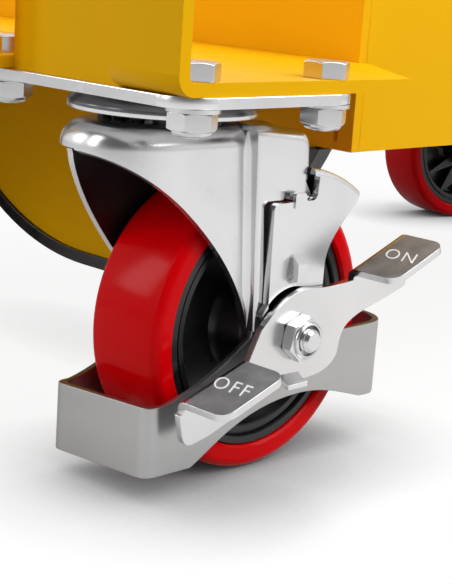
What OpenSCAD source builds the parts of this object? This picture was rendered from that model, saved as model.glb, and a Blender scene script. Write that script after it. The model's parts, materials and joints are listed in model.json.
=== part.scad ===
// Wheel dolly: a welded steel cradle that a vehicle's tyre stands in, carried by four swivel casters.
// The two front casters have a total-lock brake and a toe guard, the two rear ones are plain.
// Millimetres, +Z up. The origin is the middle of the cradle floor, and X runs along the cradle.

/* [Dolly] */
// Distance between the swivel axes along the dolly
caster_dx = 500; // [400:1:600]
// Distance between the swivel axes across the dolly
caster_dy = 276; // [270:1:340]
// Height of the frame's underside above the floor
deck_h = 132; // [131:0.5:160]
// Thickness of the frame's steel plate
frame_t = 4; // [3:0.5:5]
// Height of the frame's plates above the deck
wall_h = 37; // [25:1:60]

/* [Cradle] */
// Distance from a swivel axis to the cradle's end plate
end_gap = 96; // [96:1:125]
// Height of the cradle's floor above the ground
cradle_h = 92; // [90:0.5:105]
// Radius of the cradle sheet, about that of the tyre that stands in it
cradle_r = 330; // [280:5:420]
// Half width of the flat strip in the cradle's floor
floor_half = 8; // [5:0.5:20]
// Height of the left end plate's lowest point above the ground
belly_h = 36.5; // [36:0.5:70]
// Radius of the left end plate's hanging edge
belly_r = 126.5; // [90:0.5:150]
// Height of the side walls' lower edge above the ground
wall_low = 103.5; // [100:0.5:110]
// How far the right end plate hangs below the cradle sheet
sheet_in = 6; // [5:0.5:12]
// How far the rubber edging stands out beyond the end plate's edge
trim_out = 3.5; // [2:0.5:5]
// How far the rubber edging covers the faces of the end plate
trim_in = 2; // [1.5:0.5:3]
// Thickness of the rubber edging on each face
trim_t = 2; // [1:0.5:3]

/* [Caster plate] */
// Size of the caster's top plate along the dolly
plate_x = 77; // [77:1:90]
// Size of the caster's top plate across the dolly
plate_y = 100; // [98:1:106]
// Thickness of the caster's top plate
plate_t = 3.5; // [2.5:0.5:4]
// Bolt spacing along the dolly
bolt_dx = 56; // [50:1:56]
// Bolt spacing across the dolly
bolt_dy = 84; // [72:1:84]
// Shank radius of the bolts
bolt_r = 4; // [3:0.5:4.5]
// Width across the flats of the bolt heads and nuts
hex_af = 13; // [10:1:14]

/* [Wheel] */
// Radius of the wheel
wheel_r = 50; // [48:0.5:50.5]
// Width of the tread
tread_w = 32; // [26:1:33]
// Radius where the tread meets the core
core_r = 41.5; // [38:0.5:43]
// Distance from the swivel axis to the wheel's axle
trail = 37; // [36:1:42]
// Radius of the axle bolt
axle_r = 5; // [4:0.5:6]

/* [Fork] */
// Thickness of the fork's pressed steel
fork_t = 2.6; // [2:0.1:3]
// Distance from the middle of the wheel to the inner face of a leg
leg_in = 18.2; // [17.9:0.1:18.4]
// Height of the fork's crown above the floor
crown_h = 119.5; // [118.5:0.5:120]
// Radius of the crown's round front
crown_r = 35; // [33:0.5:37]

/* [Brake and guard] */
// Thickness of the brake plate and the lever
lever_t = 2.5; // [2:0.1:2.6]
// Thickness of the toe guard's strip
guard_t = 2.3; // [1.8:0.1:2.4]
// Distance from the axle to the front of the toe guard
guard_front = 57.5; // [57:0.5:62]
// Distance from the axle to the back of the toe guard
guard_back = 62; // [60:0.5:66]
// Width of the pedals
pedal_w = 18.5; // [14:0.5:19]

/* [Fits] */
// Radial clearance of a part that turns on a pin
run_gap = 0.05; // [0.02:0.01:0.1]
// Gap between pieces that move past each other
move_gap = 0.4; // [0.3:0.05:0.5]
// Radial clearance of a bolt in its hole
bolt_gap = 0.3; // [0.2:0.05:0.6]

/* [Hidden] */
$fn = 64;
eps = 0.01;

// Each corner: name, side in X, side in Y, direction that the wheel trails in, whether it has a brake
CORNERS = [
  ["front_left", -1, -1, 0, true],
  ["front_right", 1, -1, 0, true],
  ["rear_left", -1, 1, 14, false],
  ["rear_right", 1, 1, -12, false]
];
COMMON = ["corner_bracket", "top_plate", "kingpin", "swivel_balls", "fork", "tyre", "wheel_core",
          "wheel_bushing", "axle_bolt", "axle_nut"];
BRAKED = ["toe_guard", "brake_carrier", "brake_lever"];

YELLOW = [0.95, 0.71, 0.04];
ZINC = [0.72, 0.73, 0.74];
BRIGHT = [0.82, 0.83, 0.84];
RED = [0.78, 0.02, 0.05];
BLACK = [0.06, 0.06, 0.065];

// The frame
top_z = deck_h + wall_h;
deck_top = deck_h + frame_t;
end_x = caster_dx / 2 - end_gap;
wall_y = caster_dy / 2 - 1;
cradle_mid = cradle_h + cradle_r;
edge_room = 8;
slot_w = 2;
slot_h = 14;
slot_y = wall_y - 8;
beam_out = 46;
beam_y = caster_dy / 2 - 31;
lip_h = 28;
lip_len = 29;
lip_x = plate_x / 2 + 2.2;
flange_y = plate_y / 2 - 1;
flange_x = 61;
bend_r = 6;
web_h = 23;
web_x = lip_x - 5.5;

// The caster's head
plate_z = deck_h - plate_t;
plate_corner_r = 12;
race_r = 30;
race_neck_r = 26;
rim_h = 2.4;
race_z = crown_h + 2.5;
ball_ring_r = 18;
ball_r = 2.4;
groove_gap = 0.15;
ball_n = 16;
pin_r = 6;
pin_head_r = 10;
pin_head_h = 3.5;

// Fasteners
hex_r = hex_af / sqrt(3);
head_h = 5.3;
nut_h = 5.4;
collar_r = 5.6;
collar_h = 1.4;
washer_r = 8;
washer_h = 1.2;
bolt_end = 0.5;

// The wheel and the stack of pieces on its axle, outwards from the middle
hub_half = leg_in - move_gap;
bush_r = 9;
hub_r = 13;
tyre_edge_r = 4;
leg_out = leg_in + fork_t;
guard_in = leg_out + 0.2;
guard_out = guard_in + guard_t;
house_in = leg_out + 1.8;
house_out = house_in + fork_t;
carrier_in = house_out + 0.3;
carrier_out = carrier_in + lever_t;
lever_in = carrier_out + 0.5;
lever_out = lever_in + lever_t;
axle_hex_r = 8 / cos(30);
axle_nut_h = 6.3;
leg_end_r = 13;
hub_disc_r = 14;
ear_r = 13.5;

// The brake
pad_gap = 1.7;
hood_r = wheel_r + pad_gap;
hood_from = 58;
hood_to = 82;
clip_x = trail - 7;
clip_z = 97;
hinge_x = clip_x + 2;
clip_r = 1.8;
clip_w = 5;

// ---- Helpers ----

// Points of a cubic curve through its four control points
function curve(a, b, c, d, n = 14) =
  [for (i = [0:n]) let (t = i / n, s = 1 - t) s*s*s*a + 3*s*s*t*b + 3*s*t*t*c + t*t*t*d];

// Points of an arc about a centre
function arc(c, r, from, to, n = 16) =
  [for (i = [0:n]) let (a = from + (to - from) * i / n) c + r * [cos(a), sin(a)]];

// A plate upright in the X-Z plane, between two distances on the -Y side
module side_plate(from, to) {
  translate([0, -from, 0]) rotate([90, 0, 0]) linear_extrude(to - from) children();
}

// A plate upright in the Y-Z plane, from one X to another
module end_slab(from, to) {
  translate([from, 0, 0]) rotate([90, 0, 90]) linear_extrude(to - from) children();
}

// A cylinder along Y between two Y values
module y_rod(r, from, to, fn = 64) {
  translate([0, to, 0]) rotate([90, 0, 0]) cylinder(r = r, h = to - from, $fn = fn);
}

module rounded_rect(x, y, r) {
  for (sx = [-1, 1], sy = [-1, 1])
    translate([sx * (x / 2 - r), sy * (y / 2 - r)]) circle(r);
  square([x - 2 * r, y], center = true);
  square([x, y - 2 * r], center = true);
}

// The row's origin is the cradle floor, and everything is laid out from the ground
module from_ground() {
  translate([0, 0, -cradle_h]) children();
}

// A corner of the frame, mirrored so that -X and -Y point away from the dolly's middle
module at_corner(c) {
  from_ground() translate([c[1] * caster_dx / 2, c[2] * caster_dy / 2, 0])
    mirror([c[1] > 0 ? 1 : 0, 0, 0]) mirror([0, c[2] > 0 ? 1 : 0, 0]) children();
}

// A caster at its corner, turned so that +X is the direction its wheel trails in
module at_caster(c) {
  from_ground() translate([c[1] * caster_dx / 2, c[2] * caster_dy / 2, 0])
    rotate([0, 0, c[3]]) children();
}

// The wheel's centre on its caster
module at_axle() {
  translate([trail, 0, wheel_r]) children();
}

module at_bolts() {
  for (sx = [-1, 1], sy = [-1, 1]) translate([sx * bolt_dx / 2, sy * bolt_dy / 2, 0]) children();
}

// ---- Frame ----

// A bowed edge in Y-Z with a flat strip at its bottom, from +y round to -y, over an angle each way
function bow(r, middle, a) =
  concat(arc([floor_half, middle], r, 270 + a, 270, 24), arc([-floor_half, middle], r, 270, 270 - a, 24));

function reversed(p) = [for (i = [len(p) - 1:-1:0]) p[i]];

// The hanging edge of an end plate, moved out by a distance. The left one is a deep belly, and the right
// one follows the cradle sheet.
function edge_r(side) = side < 0 ? belly_r : cradle_r + frame_t + sheet_in;
function edge_mid(side) = side < 0 ? belly_h + belly_r : cradle_mid;
function end_edge(side, out) =
  let (r = edge_r(side) + out, m = edge_mid(side), room = wall_y - floor_half - edge_room + out)
  bow(r, m, min(acos((m - wall_low) / r), asin(min(1, room / r))));

module end_outline(side) {
  polygon(concat([[wall_y, top_z], [wall_y, wall_low]], end_edge(side, 0),
                 [[-wall_y, wall_low], [-wall_y, top_z]]));
}

module cradle_sheet() {
  room = wall_y - frame_t - floor_half;
  under_r = cradle_r + frame_t;
  color(YELLOW) from_ground() end_slab(-end_x + frame_t, end_x - frame_t)
    polygon(concat(bow(cradle_r, cradle_mid, asin(room / cradle_r)),
                   reversed(bow(under_r, cradle_mid, asin(room / under_r)))));
}

module end_plate(side) {
  color(YELLOW) from_ground() mirror([side > 0 ? 1 : 0, 0, 0])
    end_slab(-end_x, -end_x + frame_t) difference() {
      end_outline(side);
      for (sy = [-1, 1]) translate([sy * slot_y, wall_low + 3]) {
        translate([0, slot_w / 2]) circle(slot_w / 2);
        translate([-slot_w / 2, slot_w / 2]) square([slot_w, slot_h - slot_w]);
        translate([0, slot_h - slot_w / 2]) circle(slot_w / 2);
      }
    }
}

module side_wall(side) {
  color(YELLOW) from_ground() mirror([0, side > 0 ? 1 : 0, 0])
    translate([-end_x + frame_t, -wall_y, wall_low])
      cube([2 * (end_x - frame_t), frame_t, top_z - wall_low]);
}

// The tray between two corners: a deck plate with an upturned outer edge
module end_beam(side) {
  color(YELLOW) from_ground() mirror([side > 0 ? 1 : 0, 0, 0])
    translate([-caster_dx / 2, 0, deck_h]) difference() {
      union() {
        translate([-beam_out, -beam_y, 0]) cube([beam_out + end_gap, 2 * beam_y, frame_t]);
        translate([-beam_out, -beam_y, frame_t - eps]) cube([frame_t, 2 * beam_y, lip_h + eps]);
      }
      for (sy = [-1, 1], sx = [-1, 1])
        translate([sx * bolt_dx / 2, sy * (caster_dy / 2 - bolt_dy / 2), -1])
          cylinder(r = bolt_r + bolt_gap, h = frame_t + 2);
    }
}

// The bent bracket that a caster hangs from
module corner_bracket(c) {
  back = caster_dy / 2 - beam_y;
  color(YELLOW) at_corner(c) translate([0, 0, deck_h]) difference() {
    union() {
      linear_extrude(frame_t) polygon([
        [-lip_x + bend_r, -flange_y], [flange_x, -flange_y], [end_gap, -frame_t],
        [end_gap, back], [-lip_x + bend_r, back]
      ]);
      translate([-lip_x, -flange_y, 0]) {
        translate([0, 0, bend_r]) cube([frame_t, lip_len, lip_h + frame_t - bend_r]);
        translate([bend_r, lip_len, bend_r]) rotate([90, 0, 0]) linear_extrude(lip_len)
          difference() {
            intersection() {
              circle(bend_r);
              translate([-bend_r, -bend_r]) square(bend_r);
            }
            circle(bend_r - frame_t);
          }
      }
      translate([-web_x, lip_len - flange_y, 0])
        cube([frame_t, back - lip_len + flange_y, web_h + frame_t]);
      translate([-web_x, lip_len - flange_y, 0])
        cube([web_x - lip_x + bend_r + frame_t, back - lip_len + flange_y, frame_t]);
    }
    for (sx = [-1, 1]) translate([sx * bolt_dx / 2, -bolt_dy / 2, -1])
      cylinder(r = bolt_r + bolt_gap, h = frame_t + 2);
  }
}

// The rubber edging on the hanging edge of an end plate
module edge_trim(side) {
  color(BLACK) from_ground() mirror([side > 0 ? 1 : 0, 0, 0]) difference() {
    end_slab(-end_x - trim_t, -end_x + frame_t + trim_t) difference() {
      polygon(concat(end_edge(side, trim_out), reversed(end_edge(side, -trim_in))));
      translate([-wall_y, wall_low - 0.5]) square([2 * wall_y, wall_h]);
    }
    end_slab(-end_x, -end_x + frame_t) end_outline(side);
  }
}

// ---- Fasteners of the four top plates ----

module mounting_bolts() {
  tip = plate_z - washer_h - nut_h - collar_h - bolt_end;
  color(BRIGHT) for (c = CORNERS) at_corner(c) at_bolts() {
    translate([0, 0, deck_top]) rotate(30) cylinder(r = hex_r, h = head_h, $fn = 6);
    translate([0, 0, tip]) cylinder(r = bolt_r, h = deck_top - tip + eps);
  }
}

module mounting_washers() {
  color(BRIGHT) for (c = CORNERS) at_corner(c) at_bolts()
    translate([0, 0, plate_z - washer_h]) difference() {
      cylinder(r = washer_r, h = washer_h);
      translate([0, 0, -1]) cylinder(r = bolt_r + bolt_gap, h = washer_h + 2);
    }
}

module mounting_nuts() {
  color(BRIGHT) for (c = CORNERS) at_corner(c) at_bolts()
    translate([0, 0, plate_z - washer_h - nut_h]) difference() {
      union() {
        rotate(30) cylinder(r = hex_r, h = nut_h, $fn = 6);
        translate([0, 0, -collar_h]) cylinder(r = collar_r, h = collar_h + eps);
      }
      translate([0, 0, -collar_h - 1]) cylinder(r = bolt_r, h = nut_h + collar_h + 2);
    }
}

// ---- Caster head ----

module ball_groove(z) {
  translate([0, 0, z]) rotate_extrude() translate([ball_ring_r, 0]) circle(ball_r + groove_gap, $fn = 32);
}

ball_z = (crown_h + race_z) / 2;

module top_plate(c) {
  color(ZINC) at_corner(c) difference() {
    union() {
      translate([0, 0, plate_z]) linear_extrude(plate_t) rounded_rect(plate_x, plate_y, plate_corner_r);
      translate([0, 0, race_z + rim_h])
        cylinder(r1 = race_r, r2 = race_neck_r, h = plate_z - race_z - rim_h + eps);
      translate([0, 0, race_z]) cylinder(r = race_r, h = rim_h + eps);
    }
    translate([0, 0, race_z - 1]) cylinder(r = pin_r, h = deck_h);
    at_bolts() translate([0, 0, plate_z - 1]) cylinder(r = bolt_r + bolt_gap, h = plate_t + 2);
    ball_groove(ball_z);
  }
}

module kingpin(c) {
  under = crown_h - fork_t - 0.4;
  color(BRIGHT) at_corner(c) {
    translate([0, 0, under - eps]) cylinder(r = pin_r, h = deck_h - under + eps);
    translate([0, 0, under - pin_head_h]) cylinder(r = pin_head_r, h = pin_head_h);
  }
}

module swivel_balls(c) {
  color(BRIGHT) at_corner(c) for (i = [0:ball_n - 1]) rotate([0, 0, i * 360 / ball_n])
    translate([ball_ring_r, 0, ball_z]) sphere(ball_r);
}

// ---- Fork ----

back_x = trail + 5;
house_low = 97;
rib_r = 3.6;
rib_low = 56;
rib_foot = trail - 15.5;
rib_lean = 5.2;
carrier_gap = rib_r + 1.8;
carrier_top = house_low - move_gap - 1;
leg_back = trail + 14;
shoulder_z = crown_h - 6.5;
front_wall_low = 106;

// The rib follows the leg's front edge, so it leans forward
function rib_x(z) = rib_foot - (z - rib_low) * tan(rib_lean);

// The sweeping front edge of a leg, from the crown down to the axle. The leg away from the brake is fuller.
function leg_front(full) = full
  ? curve([-crown_r + 10, crown_h - 10], [trail - 58, 98], [trail - 42, 70], [trail - leg_end_r, wheel_r - 2])
  : curve([-crown_r + 10, crown_h - 8.5], [trail - 46, 100], [trail - 23, 72], [trail - leg_end_r, wheel_r - 2]);

module leg_outline(back, full) {
  polygon(concat([[-crown_r + 12, crown_h]], leg_front(full),
                 arc([trail, wheel_r], leg_end_r, 190, 360, 12),
                 [[back, wheel_r + 24], [back_x, shoulder_z - 8], [back_x - 6, crown_h]]));
}

module crown_plan(grow = 0) {
  intersection() {
    circle(crown_r + grow);
    translate([-crown_r - 1, -leg_out - grow]) square([crown_r + 1, 2 * (leg_out + grow)]);
  }
  translate([0, -leg_out - grow]) square([back_x - 6, 2 * (leg_out + grow)]);
}

// The brake side of the fork stands out behind an upright rib, to make room for the brake
module brake_housing() {
  side_plate(house_in, house_out) polygon([
    [rib_x(house_low), house_low], [back_x, house_low], [back_x, shoulder_z - 3],
    [back_x - 1, shoulder_z - 0.8], [back_x - 3, shoulder_z], [rib_x(shoulder_z), shoulder_z]
  ]);
  translate([rib_x(shoulder_z), -house_out + 1, shoulder_z - fork_t])
    cube([back_x - 3 - rib_x(shoulder_z), house_out - leg_in, fork_t]);
  translate([rib_foot, -(leg_out + rib_r * 0.35), rib_low]) rotate([0, -rib_lean, 0])
    cylinder(r = rib_r, h = (shoulder_z - rib_low) / cos(rib_lean));
}

module fork(c) {
  color(BRIGHT) at_caster(c) difference() {
    union() {
      translate([0, 0, crown_h - fork_t]) linear_extrude(fork_t) crown_plan();
      translate([0, 0, front_wall_low]) linear_extrude(crown_h - front_wall_low) difference() {
        crown_plan();
        crown_plan(-fork_t);
        translate([-10, -60]) square([100, 120]);
      }
      side_plate(leg_in, leg_out) leg_outline(leg_back, false);
      side_plate(-leg_out, -leg_in) leg_outline(leg_back, c[4]);
      if (c[4]) brake_housing();
    }
    translate([0, 0, crown_h - 20]) cylinder(r = pin_r + run_gap, h = 40);
    translate([0, 0, crown_h - fork_t - 12]) cylinder(r = pin_head_r + 3, h = 12);
    ball_groove(ball_z);
    at_axle() y_rod(axle_r + bolt_gap, -60, 60);
  }
}

// ---- Wheel ----

module wheel_turned(c) {
  at_caster(c) at_axle() rotate([90, 0, 0]) children();
}

module tyre(c) {
  half = tread_w / 2;
  e = tyre_edge_r;
  color(RED) wheel_turned(c) rotate_extrude($fn = 96) polygon(concat(
    [[core_r, -half], [wheel_r - e, -half]],
    arc([wheel_r - e, -half + e], e, -90, -10, 6),
    arc([wheel_r - e, half - e], e, 10, 90, 6),
    [[core_r, half]]
  ));
}

rim_half = 14;
web_half = 7;
rim_in = core_r - 4.5;

module wheel_core(c) {
  ribs = c[4] ? 0 : 12;
  color(BLACK) wheel_turned(c) {
    rotate_extrude($fn = 96) polygon([
      [bush_r, -hub_half], [hub_r, -hub_half], [hub_r + 3, -web_half - 2], [rim_in - 2, -web_half],
      [rim_in, -rim_half], [core_r, -rim_half], [core_r, rim_half], [rim_in, rim_half],
      [rim_in - 2, web_half], [hub_r + 3, web_half + 2], [hub_r, hub_half], [bush_r, hub_half]
    ]);
    if (ribs > 0) for (i = [0:ribs - 1]) rotate([0, 0, i * 360 / ribs])
      translate([hub_r - 1, -1.1, -rim_half + 2]) cube([rim_in - hub_r + 2, 2.2, 2 * rim_half - 4]);
  }
}

module wheel_bushing(c) {
  color(ZINC) wheel_turned(c) difference() {
    cylinder(r = bush_r, h = 2 * hub_half, center = true);
    cylinder(r = axle_r + run_gap, h = 3 * hub_half, center = true);
  }
}

// ---- Axle ----

function stack_out(c) = c[4] ? lever_out : leg_out;

module axle_bolt(c) {
  far = c[4] ? guard_out : leg_out;
  near = stack_out(c) + axle_nut_h + 1.4;
  color(BRIGHT) at_caster(c) at_axle() {
    y_rod(axle_r, -near, far + eps);
    y_rod(axle_hex_r, far, far + 6, 6);
    if (c[4]) difference() {
      y_rod(bush_r, -lever_in, -guard_out);
      y_rod(axle_r, -lever_in - 1, -guard_out + 1);
    }
  }
}

module axle_nut(c) {
  s = stack_out(c);
  color(BRIGHT) at_caster(c) at_axle() difference() {
    union() {
      y_rod(axle_hex_r, -s - 5, -s, 6);
      y_rod(7, -s - axle_nut_h, -s - 5 + eps);
    }
    y_rod(axle_r, -s - 20, 0);
  }
}

// ---- Toe guard ----

guard_low = 9.5;
guard_high = 34;
guard_back_low = 16;
guard_back_high = 44.5;

// The side view of the guard, from the ground up and from the axle along the trail
module guard_side() {
  polygon(concat(
    [[-guard_front, guard_high], [-guard_front, guard_low], [-38, guard_low]],
    curve([-37, guard_low], [-28, 14], [-16, 22.6], [0, 22.6], 8),
    curve([4, 22.6], [22, 22.4], [34, 21], [guard_back - 19, guard_back_low - 1], 8),
    [[guard_back, guard_back_low], [guard_back, guard_back_high], [26, guard_back_high - 0.5]],
    curve([22, guard_back_high], [16, 45], [14, 48], [ear_r, wheel_r], 5),
    arc([0, wheel_r], ear_r, 12, 168, 14),
    curve([-ear_r, wheel_r - 2], [-17, 42], [-26, 35], [-40, guard_high - 1], 8)
  ));
}

module guard_ring(half, from, to, r_front, r_back) {
  translate([from + r_front, -half]) square([to - from - r_front - r_back, 2 * half]);
  translate([from, -half + r_front]) square([r_front + 1, 2 * (half - r_front)]);
  translate([to - r_back - 1, -half + r_back]) square([r_back + 1, 2 * (half - r_back)]);
  for (s = [-1, 1]) {
    translate([from + r_front, s * (half - r_front)]) circle(r_front);
    translate([to - r_back, s * (half - r_back)]) circle(r_back);
  }
}

module toe_guard(c) {
  t = guard_t;
  color(ZINC) at_caster(c) difference() {
    intersection() {
      translate([trail, 0, 0]) linear_extrude(80) difference() {
        guard_ring(guard_out, -guard_front, guard_back, 6, 12);
        guard_ring(guard_in, -guard_front + t, guard_back - t, 6 - t, 12 - t);
      }
      translate([trail, 0, 0]) side_plate(-40, 40) guard_side();
    }
    at_axle() y_rod(axle_r, -60, 60);
  }
}

// ---- Brake ----

// The brake plate outside the fork, with the hood that presses on the tread
module carrier_outline() {
  difference() {
    polygon(concat(
      [[rib_x(56) + carrier_gap, 56], [rib_x(carrier_top) + carrier_gap, carrier_top]],
      [[back_x + 2.5, carrier_top], [back_x + 3, house_low + 6]],
      arc([trail, wheel_r], hood_r + lever_t, hood_to, hood_from, 8),
      curve([trail + 27, 90], [trail + 21, 82.5], [trail + 14, 76], [trail + 13.8, 64.5], 6),
      [[trail + 13.5, 56]]
    ));
    translate([trail, wheel_r]) circle(hub_disc_r + 2.5);
  }
}

module brake_carrier(c) {
  color(BRIGHT) at_caster(c) {
    side_plate(carrier_in, carrier_out) carrier_outline();
    side_plate(-tread_w / 2, carrier_out) polygon(concat(
      arc([trail, wheel_r], hood_r + lever_t, hood_to - 6, hood_from, 10),
      arc([trail, wheel_r], hood_r, hood_from, hood_to - 6, 10)
    ));
    side_plate(carrier_in, carrier_out) translate([hinge_x, clip_z]) {
      circle(clip_r);
      translate([0, -clip_r]) square([clip_w, 2 * clip_r]);
    }
    translate([clip_x + 6, -carrier_out - 3, 74]) cube([7, 3 + eps, 9]);
  }
}

// The lever: one stamped plate on the axle, with a foot pedal bent out from the top of each arm
on_a = [28, 19.4];
on_b = [52.5, 28.4];
off_a = [-24.8, -3.5];
off_b = [-53, -12];

function tilt(a, b) = atan2(b[1] - a[1], b[0] - a[0]);

module pedal(a, b) {
  r = 5;
  w = pedal_w;
  len_ab = norm(b - a);
  translate([a[0], -lever_out + eps, a[1]]) rotate([0, -tilt(a, b), 0])
    translate([0, -w, -lever_t]) linear_extrude(lever_t) {
      translate([0, r]) square([len_ab, w - r]);
      translate([r, 0]) square([len_ab - 2 * r, w]);
      for (x = [r, len_ab - r]) translate([x, r]) circle(r);
    }
}

module lever_outline() {
  difference() {
    union() {
      circle(hub_disc_r);
      polygon(concat([[-2, hub_disc_r - 0.4], [15, 11.5], on_a, on_b],
                     [[55.5, 13.5], [50, 9]], curve([36, 3], [22, -5], [14, -8], [6, -hub_disc_r + 1.6], 5)));
      polygon([off_a, off_b, [-50.5, -26], [-48.5, -28.5], [-45.5, -28], [-6, -12.6], [0, 0], [-9, 10]]);
    }
    circle(axle_r + run_gap);
  }
}

module brake_lever(c) {
  color(BRIGHT) at_caster(c) at_axle() {
    side_plate(lever_in, lever_out) lever_outline();
    pedal(on_a, on_b);
    mirror([1, 0, 0]) pedal([-off_a[0], off_a[1]], [-off_b[0], off_b[1]]);
  }
}

// ---- Nodes ----

cradle_sheet();
end_plate(-1);  // end_plate_left
end_plate(1);  // end_plate_right
side_wall(-1);  // side_wall_front
side_wall(1);  // side_wall_rear
end_beam(-1);  // end_beam_left
end_beam(1);  // end_beam_right
edge_trim(-1);  // edge_trim_left
edge_trim(1);  // edge_trim_right
mounting_bolts();
mounting_washers();
mounting_nuts();

for (c = CORNERS) {
  corner_bracket(c);
  top_plate(c);
  kingpin(c);
  swivel_balls(c);
  fork(c);
  tyre(c);
  wheel_core(c);
  wheel_bushing(c);
  axle_bolt(c);
  axle_nut(c);
}
for (c = CORNERS) if (c[4]) {
  toe_guard(c);
  brake_carrier(c);
  brake_lever(c);
}
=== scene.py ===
# %% [markdown]
# # A wheel dolly, dressed for its picture
#
# The dolly's frame, casters and joints come ready made from the CAD model, at their real size. This lesson
# keeps the pieces whose shape is already right, gives them a finish, and models the pressed and moulded
# pieces again with more care: the forks, wheels, guards, brake parts and fasteners.

# %% Load the frame
import json
import math

import bmesh
import bpy
from mathutils import Matrix, Vector


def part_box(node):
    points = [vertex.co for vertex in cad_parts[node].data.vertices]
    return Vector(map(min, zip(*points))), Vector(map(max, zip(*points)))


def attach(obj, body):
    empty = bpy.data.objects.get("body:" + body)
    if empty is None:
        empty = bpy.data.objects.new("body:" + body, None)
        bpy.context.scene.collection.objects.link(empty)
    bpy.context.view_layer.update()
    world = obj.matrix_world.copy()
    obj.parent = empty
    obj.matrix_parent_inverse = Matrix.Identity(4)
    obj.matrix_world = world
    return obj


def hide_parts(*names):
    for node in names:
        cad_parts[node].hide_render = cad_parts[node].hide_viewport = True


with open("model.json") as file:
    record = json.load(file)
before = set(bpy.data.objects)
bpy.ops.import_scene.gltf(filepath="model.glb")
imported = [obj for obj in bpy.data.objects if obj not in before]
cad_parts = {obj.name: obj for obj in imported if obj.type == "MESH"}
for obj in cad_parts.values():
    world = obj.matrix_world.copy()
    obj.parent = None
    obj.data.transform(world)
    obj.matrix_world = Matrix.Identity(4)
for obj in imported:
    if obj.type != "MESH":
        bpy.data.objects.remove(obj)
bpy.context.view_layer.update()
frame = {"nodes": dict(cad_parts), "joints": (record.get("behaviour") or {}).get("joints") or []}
nodes = frame["nodes"]
print("CAD nodes:", len(nodes))

# %% [markdown]
# ## Where the casters are
#
# Each caster turns about an upright axis, and its wheel about an axle set back from that axis. The joints
# say where both are, so every caster's own frame follows from them: X is the way the wheel trails, Z is up,
# and the origin is on the floor below the swivel axis. Pieces are modelled once in that frame, in
# millimetres, and then placed.

# %% The caster frames
MM = 0.001
joints = {j["name"]: j for j in frame["joints"]}
CORNERS = ["front_left", "front_right", "rear_left", "rear_right"]
BRAKED = ["front_left", "front_right"]


def half_size(name, axis):
    """Half of a CAD node's size along X, Y or Z (0, 1 or 2), in millimetres."""
    low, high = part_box(name)
    return (high[axis] - low[axis]) / 2 / MM


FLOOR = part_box("tyre_front_left")[0][2]
WHEEL_R = half_size("tyre_front_left", 2)


def place_of(corner):
    """The matrix from a caster's own frame, in millimetres, to the row frame, and the wheel's trail."""
    swivel = Vector(joints["swivel_" + corner]["pos_m"])
    axle = Vector(joints["wheel_" + corner]["pos_m"])
    arm = (axle - swivel).to_2d()
    turn = Matrix.Rotation(math.atan2(arm.y, arm.x), 4, "Z")
    move = Matrix.Translation((swivel.x, swivel.y, FLOOR))
    return move @ turn @ Matrix.Scale(MM, 4), arm.length / MM


PLACE = {c: place_of(c)[0] for c in CORNERS}
TRAIL = place_of("front_left")[1]
print("wheel radius", round(WHEEL_R, 2), "mm, trail", round(TRAIL, 2), "mm")

# %% [markdown]
# ## Helpers for shapes
#
# Sheet metal and moulded pieces start from an outline: a few corner points, each with a radius. One helper
# turns the corners into arcs, and others pull an outline into a solid prism or spin a section about an axis.
# The last ones finish the mesh: they join, cut and soften it, put it in place, smooth it and say which body
# it rides on.

# %% Outlines
def rounded(points, steps=6):
    """Corner points (x, y, radius) as an outline whose corners are arcs."""
    out = []
    count = len(points)
    for i, (x, y, r) in enumerate(points):
        here = Vector((x, y))
        before = (Vector(points[i - 1][:2]) - here)
        after = (Vector(points[(i + 1) % count][:2]) - here)
        if r <= 0 or before.length < 1e-6 or after.length < 1e-6:
            out.append((x, y))
            continue
        half = before.angle(after) / 2
        reach = min(r / math.tan(half), before.length * 0.49, after.length * 0.49)
        start, end = here + before.normalized() * reach, here + after.normalized() * reach
        for k in range(steps + 1):
            t = k / steps
            out.append(tuple((1 - t) ** 2 * start + 2 * t * (1 - t) * here + t ** 2 * end))
    return out


def arc(cx, cy, r, start, end, steps=16):
    """Points of an arc, in degrees."""
    angles = [math.radians(start + (end - start) * k / steps) for k in range(steps + 1)]
    return [(cx + r * math.cos(a), cy + r * math.sin(a)) for a in angles]


def curve(a, b, c, d, steps=14):
    """Points of a cubic curve through its four control points."""
    a, b, c, d = (Vector(p) for p in (a, b, c, d))
    return [tuple((1 - t) ** 3 * a + 3 * (1 - t) ** 2 * t * b + 3 * (1 - t) * t * t * c + t ** 3 * d)
            for t in (k / steps for k in range(steps + 1))]


print("an arc in 4 steps:", [tuple(round(v, 2) for v in p) for p in arc(0, 0, 1, 0, 90, 4)])


# %% Prisms and lathe work
def face_from(bm, outline, to_3d):
    verts = [bm.verts.new(to_3d(*p)) for p in outline]
    return bm.faces.new(verts)


def prism(bm, outline, to_3d, move):
    """A solid from an outline: one face, extruded by a vector."""
    face = face_from(bm, outline, to_3d)
    made = bmesh.ops.extrude_face_region(bm, geom=[face])["geom"]
    verts = [g for g in made if isinstance(g, bmesh.types.BMVert)]
    bmesh.ops.translate(bm, verts=verts, vec=move)
    return verts


def upright(bm, outline, y_from, y_to):
    """A plate in the X-Z plane between two Y values."""
    return prism(bm, outline, lambda x, z: (x, y_from, z), (0, y_to - y_from, 0))


def flat(bm, outline, z_from, z_to):
    """A plate in the X-Y plane between two heights."""
    return prism(bm, outline, lambda x, y: (x, y, z_from), (0, 0, z_to - z_from))


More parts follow.
